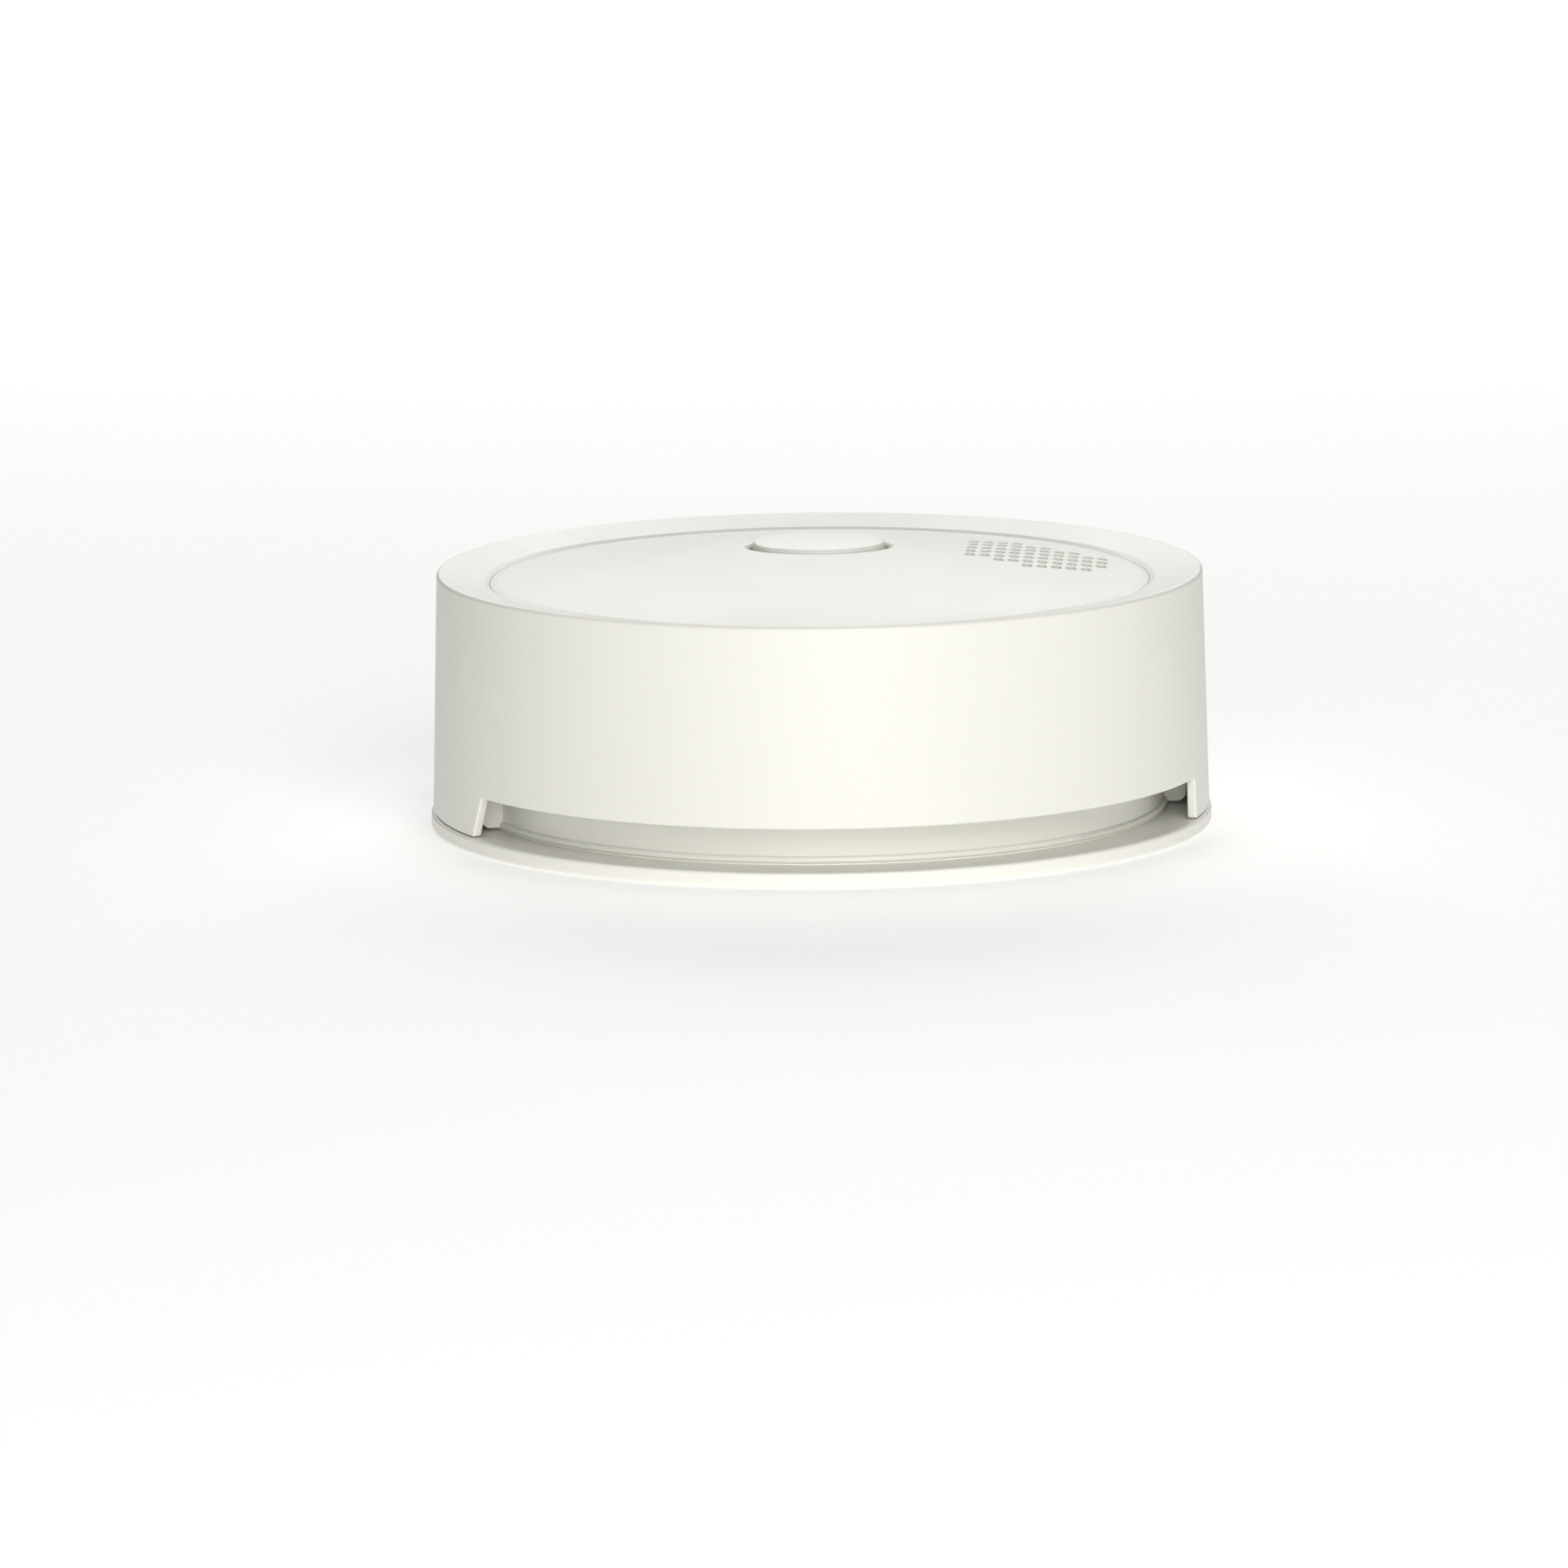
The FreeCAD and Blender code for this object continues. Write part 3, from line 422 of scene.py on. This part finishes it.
class Surface:
    """Points and faces of one piece, built from rings and skins."""

    def __init__(self):
        self.points = []
        self.faces = []

    def ring(self, points):
        first = len(self.points)
        self.points.extend(tuple(point) for point in points)
        return list(range(first, len(self.points)))

    def bridge(self, first, second):
        """Quads between two closed rings that have the same number of points."""
        for i in range(len(first)):
            self.faces.append((first[i - 1], first[i], second[i], second[i - 1]))

    def walls(self, *rings):
        for first, second in zip(rings, rings[1:]):
            self.bridge(first, second)

    def skin(self, loops, clearance, height, spacing):
        """Triangles over the region where clearance(x, y) is positive, between the loops that bound it."""
        known = [index for loop in loops for index in loop]
        flat = [Vector(self.points[index][:2]) for index in known]
        edges = []
        for loop in loops:
            first = len(edges)
            edges += [(first + i, first + (i + 1) % len(loop)) for i in range(len(loop))]
        inner = []
        reach_x = max(abs(point.x) for point in flat)
        reach_y = max(abs(point.y) for point in flat)
        row_step = spacing * math.sqrt(0.75)
        rows = math.ceil(reach_y / row_step)
        columns = math.ceil(reach_x / spacing) + 1
        for row in range(-rows, rows + 1):
            for column in range(-columns, columns + 1):
                x = (column + 0.5 * (row % 2)) * spacing
                y = row * row_step
                if clearance(x, y) > 0.45 * spacing:
                    inner.append(Vector((x, y)))
        made = self.ring((point.x, point.y, height(point.x, point.y)) for point in inner)
        table = known + made
        coords, _, triangles, origins, _, _ = delaunay_2d_cdt(flat + inner, edges, [], 0, 1e-9)
        for triangle in triangles:
            middle = sum((coords[corner] for corner in triangle), Vector((0.0, 0.0))) / 3
            if clearance(middle.x, middle.y) > 0.0:
                self.faces.append(tuple(table[origins[corner][0]] for corner in triangle))

    def lathe(self, outline, centre=(0.0, 0.0), steps=240):
        """Surface of revolution of a closed (radius, height) outline; radius 0 gives a pole."""
        rings = []
        for radius, height in outline:
            if radius < 1e-7:
                rings.append(self.ring([(centre[0], centre[1], height)]) * steps)
            else:
                angles = (2 * math.pi * i / steps for i in range(steps))
                rings.append(self.ring((centre[0] + radius * math.cos(a),
                                        centre[1] + radius * math.sin(a), height)
                                       for a in angles))
        for first, second in zip(rings, rings[1:] + rings[:1]):
            for i in range(steps):
                corners = (first[i - 1], first[i], second[i], second[i - 1])
                face = tuple(dict.fromkeys(corners))
                if len(face) > 2:
                    self.faces.append(face)

    def arc_block(self, inner, outer, bottom, top, middle_angle, half_angle, steps=6):
        """Closed block between two radii, two heights and two angles."""
        sections = []
        for i in range(steps + 1):
            angle = math.radians(middle_angle - half_angle + 2 * half_angle * i / steps)
            corners = ((inner, bottom), (outer, bottom), (outer, top), (inner, top))
            sections.append(self.ring((r * math.cos(angle), r * math.sin(angle), z) for r, z in corners))
        self.walls(*sections)
        self.faces.append(tuple(sections[0]))
        self.faces.append(tuple(sections[-1]))

    def make(self, name, material, sharp_angle=35.0):
        """Object with smooth shading inside its edges and normals weighted by face area."""
        mesh = bpy.data.meshes.new(name)
        mesh.from_pydata(self.points, [], self.faces)
        work = bmesh.new()
        work.from_mesh(mesh)
        bmesh.ops.recalc_face_normals(work, faces=work.faces)
        work.to_mesh(mesh)
        work.free()
        mesh.shade_smooth()
        mesh.set_sharp_from_angle(angle=math.radians(sharp_angle))
        mesh.materials.append(material)
        piece = bpy.data.objects.new(name, mesh)
        bpy.context.scene.collection.objects.link(piece)
        weighted = piece.modifiers.new("weighted normals", "WEIGHTED_NORMAL")
        weighted.keep_sharp = True
        return piece


# Front cover: rim, wall, legs and smoke slots

def cover_radius_at(height):
    share = (height - foot) / (shoulder - foot)
    return cover_foot_radius + share * (cover_top_radius - cover_foot_radius)


def cover_lower_edge(spacing=1.0 * mm, corner_round=0.45 * mm):
    """Lower edge of the cover unrolled flat, once round: (distance along the wall, height)."""
    around = 2 * math.pi * cover_foot_radius
    corners = []
    for half in (0, 1):
        start = cover_foot_radius * (slot_start + half * math.pi)
        end = start + cover_foot_radius * slot_sweep
        corners += [(start - slot_lean, foot), (start, cover_edge), (end, cover_edge), (end, foot)]
    path = []
    for i, corner in enumerate(corners):
        before = corners[i - 1] if i else (corners[-1][0] - around, foot)
        after = corners[i + 1] if i + 1 < len(corners) else (corners[0][0] + around, foot)
        path += corner_arc(before, corner, after, corner_round, 4)
    path.append(path[0] + Vector((around, 0.0)))
    return subdivided(path, spacing, closed=False)[:-1], around


def cover_piece():
    surface = Surface()
    edge, around = cover_lower_edge()
    count = len(edge)
    edge_round = 0.25 * mm
    spread = 9
    blend_top = 14.0 * mm
    wall_rows = [shoulder + (blend_top - shoulder) * i / 6 for i in range(1, 7)]
    blend = (0.2, 0.4, 0.6, 0.8, 1.0)
    turn = [math.radians(90.0 * i / 4) for i in range(1, 5)]

    def along(i):
        return edge[i % count] + Vector((around * (i // count), 0.0))

    def place(distance, height, inset):
        angle = distance / cover_foot_radius
        radius = cover_radius_at(height) - inset
        return (radius * math.cos(angle), radius * math.sin(angle), height)

    inner_wall_top = rim_inner_top - cover_wall
    crest_inside = rim_top - cover_wall
    ledge_bottom = seat_height - ledge_thickness
    top_section = rounded([
        (cover_radius_at(crest_inside) - cover_wall, crest_inside - 3 * mm, 0.0),
        (cover_radius_at(crest_inside) - cover_wall, crest_inside, 0.4 * mm),
        (rim_inner_radius + 1.6 * mm, inner_wall_top, 0.2 * mm),
        (rim_inner_radius + 0.8 * mm, ledge_bottom, 0.2 * mm),
        (ledge_radius, ledge_bottom, 0.2 * mm),
        (ledge_radius, seat_height, 0.2 * mm),
        (seat_radius, seat_height, 0.15 * mm),
        (seat_radius, rim_inner_top - rim_bevel, 0.12 * mm),
        (rim_inner_radius, rim_inner_top, 0.3 * mm),
        (cover_top_radius - 1.3 * rim_round, rim_top, 0.1 * mm),
        (cover_top_radius, rim_top, rim_round),
        (cover_top_radius, shoulder - 0.5 * mm, 0.0)], steps=6, closed=False)
    columns = []
    for i in range(count):
        ahead = along(i + 1) - along(i - 1)
        into_wall = Vector((-ahead.y, ahead.x)).normalized()
        even = sum(along(i + k).x for k in range(-spread, spread + 1)) / (2 * spread + 1)
        angle = even / cover_foot_radius
        column = [(r * math.cos(angle), r * math.sin(angle), z) for r, z in top_section]
        column += [place(even, height, 0.0) for height in wall_rows]
        held = along(i) + edge_round * into_wall
        upper = Vector((even, blend_top))
        outer = [upper.lerp(held, share) for share in blend]
        column += [place(point.x, point.y, 0.0) for point in outer]
        for angle in turn:
            point = along(i) + edge_round * (1 - math.sin(angle)) * into_wall
            column.append(place(point.x, point.y, edge_round * (1 - math.cos(angle))))
        for angle in reversed(turn):
            point = along(i) + edge_round * (1 - math.sin(angle)) * into_wall
            column.append(place(point.x, point.y, cover_wall - edge_round * (1 - math.cos(angle))))
        column += [place(point.x, point.y, cover_wall) for point in reversed(outer)]
        column += [place(even, height, cover_wall) for height in reversed(wall_rows[:-1])]
        columns.append(column)
    rings = [surface.ring(row) for row in zip(*columns)]
    surface.walls(*rings, rings[0])
    post_radius = 2.6 * mm
    bore_radius = 1.45 * mm
    post_bottom, bore_top, post_top = 9.6 * mm, 19.5 * mm, 29.4 * mm
    for degrees in post_angles:
        spot = (post_circle * math.cos(math.radians(degrees)), post_circle * math.sin(math.radians(degrees)))
        surface.lathe([(bore_radius, post_bottom), (post_radius, post_bottom), (post_radius, post_top),
                       (0.0, post_top), (0.0, bore_top), (bore_radius, bore_top)], spot, 32)
    return surface.make("cover_shell", MATERIALS["shell_plastic"])


# Face plate: a shallow dome with the button's hole and the sounder's grille

def dome_face(x, y, depth=0.0):
    sphere = (dome_radius ** 2 + dome_height ** 2) / (2 * dome_height)
    return dome_edge + dome_height - sphere + math.sqrt((sphere - depth) ** 2 - x * x - y * y)


def grille_spots():
    """Centres of the grille's slots: square rows and leaning columns in a lozenge with cut corners."""
    column_pitch, row_pitch, lean = 1.9 * mm, 3.7 * mm, 0.052
    first_x, first_y = 19.2 * mm, -0.6 * mm
    nearest, farthest, rightmost = 25.5 * mm, 48.0 * mm, 36.0 * mm
    spots = []
    for row in range(7):
        y = first_y + row * row_pitch
        for column in range(10):
            x = first_x + column * column_pitch + lean * y
            if nearest <= x + y <= farthest and x - y <= rightmost:
                spots.append((x, y))
    return spots


def circle(centre, radius, steps):
    return [Vector((centre[0] + radius * math.cos(2 * math.pi * i / steps),
                    centre[1] + radius * math.sin(2 * math.pi * i / steps))) for i in range(steps)]


def face_piece():
    surface = Surface()
    bottom = seat_height + 0.05 * mm
    inner_radius = 39.4 * mm
    slot_length, slot_width = 2.4 * mm, 1.0 * mm
    edge_round = 0.12 * mm
    lip_round = 0.3 * mm
    spots = grille_spots()
    brim = dome_face(0.0, button_centre[1] - button_hole_radius)
    bevel_foot = brim - 0.85 * mm
    collar_radius = flange_radius + 0.6 * mm
    collar_bottom = 30.8 * mm

    def bevel_edge(angle):
        """Distance from the button's centre where the bevel meets the dome."""
        radius = button_hole_radius
        for _ in range(8):
            x = button_centre[0] + radius * math.cos(angle)
            y = button_centre[1] + radius * math.sin(angle)
            radius = button_hole_radius + dome_face(x, y) - bevel_foot
        return radius

    def to_slot(x, y, grow):
        best = 1.0
        straight = (slot_length - slot_width) / 2
        for spot in spots:
            up = max(0.0, abs(y - spot[1]) - straight)
            best = min(best, math.hypot(x - spot[0], up) - slot_width / 2 - grow)
        return best

    def to_button(x, y):
        dx, dy = x - button_centre[0], y - button_centre[1]
        return math.hypot(dx, dy) - bevel_edge(math.atan2(dy, dx)) - edge_round

    def clear_above(x, y):
        return min(dome_radius - edge_round - math.hypot(x, y), to_button(x, y), to_slot(x, y, lip_round))

    def clear_below(x, y):
        collar = math.hypot(x - button_centre[0], y - button_centre[1]) - collar_radius
        return min(inner_radius - math.hypot(x, y), collar, to_slot(x, y, 0.0))

    def under(x, y):
        return dome_face(x, y, face_thickness)

    steps = 300
    rim = [(dome_radius - edge_round, dome_face(dome_radius - edge_round, 0.0))]
    rim += [tuple(point) for point in rounded([
        (dome_radius - 2 * edge_round, dome_face(dome_radius - 2 * edge_round, 0.0), 0.0),
        (dome_radius, dome_edge, edge_round),
        (face_radius, dome_edge - face_bevel, 0.1 * mm),
        (face_radius, bottom, 0.1 * mm),
        (inner_radius, bottom, 0.1 * mm),
        (inner_radius, dome_face(inner_radius, 0.0, face_thickness), 0.0)], steps=3, closed=False)[1:]]
    rings = []
    for radius, height in rim:
        rings.append(surface.ring((p.x, p.y, height) for p in circle((0.0, 0.0), radius, steps)))
    surface.walls(*rings)

    hole_steps = 144
    hole_angles = [2 * math.pi * i / hole_steps for i in range(hole_steps)]

    def hole_ring(radius_at, height_at):
        spots_round = []
        for angle in hole_angles:
            radius = radius_at(angle)
            x = button_centre[0] + radius * math.cos(angle)
            y = button_centre[1] + radius * math.sin(angle)
            spots_round.append((x, y, height_at(x, y, radius)))
        return surface.ring(spots_round)

    def on_bevel(x, y, radius):
        return bevel_foot + radius - button_hole_radius

    hole = [
        hole_ring(lambda a: bevel_edge(a) + edge_round, lambda x, y, r: dome_face(x, y)),
        hole_ring(lambda a: bevel_edge(a) + 0.3 * edge_round,
                  lambda x, y, r: dome_face(x, y) - 0.1 * edge_round),
        hole_ring(lambda a: bevel_edge(a) - 0.2 * edge_round,
                  lambda x, y, r: on_bevel(x, y, r) - 0.2 * edge_round),
        hole_ring(lambda a: bevel_edge(a) - 0.8 * edge_round, on_bevel),
        hole_ring(lambda a: button_hole_radius + 0.1 * mm, on_bevel),
        hole_ring(lambda a: button_hole_radius, lambda x, y, r: bevel_foot - 0.1 * mm),
        hole_ring(lambda a: button_hole_radius, lambda x, y, r: collar_bottom),
        hole_ring(lambda a: collar_radius, lambda x, y, r: collar_bottom),
        hole_ring(lambda a: collar_radius, lambda x, y, r: under(x, y))]
    surface.walls(*hole)

    above, below = [hole[0]], [hole[-1]]
    for spot in spots:
        outline = obround(spot, slot_length, slot_width)
        stack = []
        for degrees in (0.0, 30.0, 60.0, 90.0):
            grow = lip_round * (1 - math.sin(math.radians(degrees)))
            drop = lip_round * (1 - math.cos(math.radians(degrees)))
            stack.append(surface.ring((p.x, p.y, dome_face(p.x, p.y) - drop)
                                      for p in offset_outline(outline, grow)))
        stack.append(surface.ring((p.x, p.y, under(p.x, p.y)) for p in outline))
        surface.walls(*stack)
        above.append(stack[0])
        below.append(stack[-1])
    surface.skin([rings[0], *above], clear_above, dome_face, 0.9 * mm)
    surface.skin([rings[-1], *below], clear_below, under, 1.2 * mm)

    hook_inner, hook_outer, barb_reach = 38.9 * mm, 40.1 * mm, 41.0 * mm
    hook_bottom, barb_top = face_low.z, face_low.z + 0.8 * mm
    for degrees in (75, 165, 255, 345):
        surface.arc_block(hook_inner, hook_outer, hook_bottom, seat_height + 1.0 * mm, degrees, 3.4)
        surface.arc_block(hook_outer, barb_reach, hook_bottom, barb_top, degrees, 3.4)
    return surface.make("face_shell", MATERIALS["shell_plastic"])


# Test button

def button_piece():
    surface = Surface()
    crown = 0.15 * mm
    edge = button_top - crown
    flange_top, flange_bottom = 30.75 * mm, 29.9 * mm
    stem_radius = 2.0 * mm
    inside = button_radius - button_wall
    skin = edge - button_wall
    dome = []
    for i in range(24):
        share = i / 24
        dome.append((0.96 * button_radius * share, button_top - crown * share ** 2))
    outline = dome + [tuple(point) for point in rounded([
        (0.96 * button_radius, edge, 0.0),
        (button_radius, edge - 0.02 * mm, 0.45 * mm),
        (button_radius, flange_top, 0.2 * mm),
        (flange_radius, flange_top, 0.15 * mm),
        (flange_radius, flange_bottom, 0.15 * mm),
        (inside, flange_bottom, 0.15 * mm),
        (inside, skin, 0.3 * mm),
        (stem_radius, skin, 0.3 * mm),
        (stem_radius, button_low.z, 0.2 * mm),
        (0.0, button_low.z, 0.0)], steps=6, closed=False)]
    surface.lathe(outline, button_centre, 180)
    return surface.make("button_cap", MATERIALS["button_plastic"])


# Mounting plate

def relief_pocket(inner, outer, ribs, rib_width, index):
    """Outline of one pocket between two radial ribs, with rounded corners."""
    pitch = 2 * math.pi / ribs
    corners = []
    for radius in (inner, outer):
        lean = math.asin(rib_width / 2 / radius)
        corners.append((radius, index * pitch + lean, (index + 1) * pitch - lean))
    near, far = corners
    outline = []
    for radius, start, end in ((far[0], far[1], far[2]), (near[0], near[2], near[1])):
        arc_steps = max(2, math.ceil(pitch * radius / (1.5 * mm)))
        for i in range(arc_steps + 1):
            angle = start + (end - start) * i / arc_steps
            ends = i in (0, arc_steps)
            outline.append((radius * math.cos(angle), radius * math.sin(angle), 0.5 * mm if ends else 0.0))
    return subdivided(rounded(outline, steps=4), 1.5 * mm)


def plate_piece():
    surface = Surface()
    edge_round = 0.4 * mm
    slot_round = 0.25 * mm
    pocket_round = 0.15 * mm
    steps = 300
    slot_length, slot_width = 8.0 * mm, 4.4 * mm
    half_spacing = 30.0 * mm
    slots = []
    for quarter in range(4):
        turn = Matrix.Rotation(math.radians(90.0 * quarter), 2)
        outline = subdivided(obround((0.0, 0.0), slot_length, slot_width, 12), 1.0 * mm)
        centre = Vector((half_spacing, 0.0))
        along_x = Matrix.Rotation(math.radians(90.0), 2)
        slots.append([turn @ (along_x @ point + centre) for point in outline])
    pockets = [relief_pocket(6.0 * mm, 23.0 * mm, 8, 1.4 * mm, i) for i in range(8)]
    pockets += [relief_pocket(36.5 * mm, 48.6 * mm, 36, 1.2 * mm, i) for i in range(36)]

    def to_slots(x, y, grow):
        straight = (slot_length - slot_width) / 2
        best = 1.0
        for along, across in ((abs(x), abs(y)), (abs(y), abs(x))):
            best = min(best, math.hypot(max(0.0, abs(along - half_spacing) - straight), across))
        return best - slot_width / 2 - grow

    def in_pocket(x, y, inner, outer, ribs, rib_width):
        """How far inside a pocket of that ring the point is; negative outside."""
        radius = math.hypot(x, y)
        pitch = 2 * math.pi / ribs
        angle = math.atan2(y, x)
        from_rib = radius * abs(math.sin(angle - pitch * round(angle / pitch))) - rib_width / 2
        return min(radius - inner, outer - radius, from_rib)

    def deepest(x, y, grow):
        return max(in_pocket(x, y, 6.0 * mm - grow, 23.0 * mm + grow, 8, 1.4 * mm - 2 * grow),
                   in_pocket(x, y, 36.5 * mm - grow, 48.6 * mm + grow, 36, 1.2 * mm - 2 * grow))

    def clear_top(x, y):
        return min(plate_radius - edge_round - math.hypot(x, y), to_slots(x, y, slot_round))

    def clear_bottom(x, y):
        return min(clear_top(x, y), -deepest(x, y, pocket_round))

    side = []
    for degrees in range(0, 91, 15):
        angle = math.radians(degrees)
        radius = plate_radius - edge_round * (1 - math.sin(angle))
        side.append((radius, plate_top - edge_round * (1 - math.cos(angle))))
    profile = side + [(radius, plate_top - height) for radius, height in reversed(side)]
    rings = [surface.ring((p.x, p.y, height) for p in circle((0.0, 0.0), radius, steps))
             for radius, height in profile]
    surface.walls(*rings)

    above, below = [rings[0]], [rings[-1]]
    for outline in slots:
        stack = []
        for degrees in (0.0, 30.0, 60.0, 90.0):
            grow = slot_round * (1 - math.sin(math.radians(degrees)))
            drop = slot_round * (1 - math.cos(math.radians(degrees)))
            stack.append((grow, drop))
        heights = [(grow, plate_top - drop) for grow, drop in stack]
        heights += [(grow, drop) for grow, drop in reversed(stack)]
        walls = [surface.ring((p.x, p.y, height) for p in offset_outline(outline, grow))
                 for grow, height in heights]
        surface.walls(*walls)
        above.append(walls[0])
        below.append(walls[-1])
    for outline in pockets:
        mouth = surface.ring((p.x, p.y, 0.0) for p in offset_outline(outline, pocket_round))
        lip = surface.ring((p.x, p.y, 0.3 * pocket_round)
                           for p in offset_outline(outline, 0.3 * pocket_round))
        wall = surface.ring((p.x, p.y, pocket_round) for p in outline)
        floor_edge = surface.ring((p.x, p.y, relief_depth) for p in outline)
        surface.walls(mouth, lip, wall, floor_edge)
        surface.faces.append(tuple(floor_edge))
        below.append(mouth)
    surface.skin(above, clear_top, lambda x, y: plate_top, 2.5 * mm)
    surface.skin(below, clear_bottom, lambda x, y: 0.0, 2.5 * mm)

    ring_top = foot - shown_gap
    ring_bottom = plate_top - 0.2 * mm
    ring_inner, ring_outer = 43.2 * mm, 44.3 * mm
    surface.lathe([(ring_inner, ring_bottom), (ring_outer, ring_bottom), (ring_outer, ring_top),
                   (ring_inner, ring_top)], steps=300)
    hook_inner, hook_wall, hook_reach = 37.5 * mm, 38.7 * mm, 41.0 * mm
    lip_bottom, hook_top = 4.0 * mm, plate_high.z
    for degrees in (45, 135, 225, 315):
        surface.arc_block(hook_inner, hook_wall, plate_top - 0.2 * mm, hook_top, degrees, 7.0)
        surface.arc_block(hook_wall, hook_reach, lip_bottom, hook_top, degrees, 7.0)
        surface.arc_block(hook_wall, hook_reach, plate_top - 0.2 * mm, hook_top, degrees - 7.8, 0.8)
    return surface.make("plate_shell", MATERIALS["plate_plastic"])


for piece, body, node, slot in (
        (cover_piece(), "head", "front_cover", "shell_plastic"),
        (face_piece(), "head", "face_plate", "shell_plastic"),
        (button_piece(), "button", "test_button", "button_plastic"),
        (plate_piece(), "plate", "mounting_plate", "plate_plastic")):
    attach(piece, body)
    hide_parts(node)
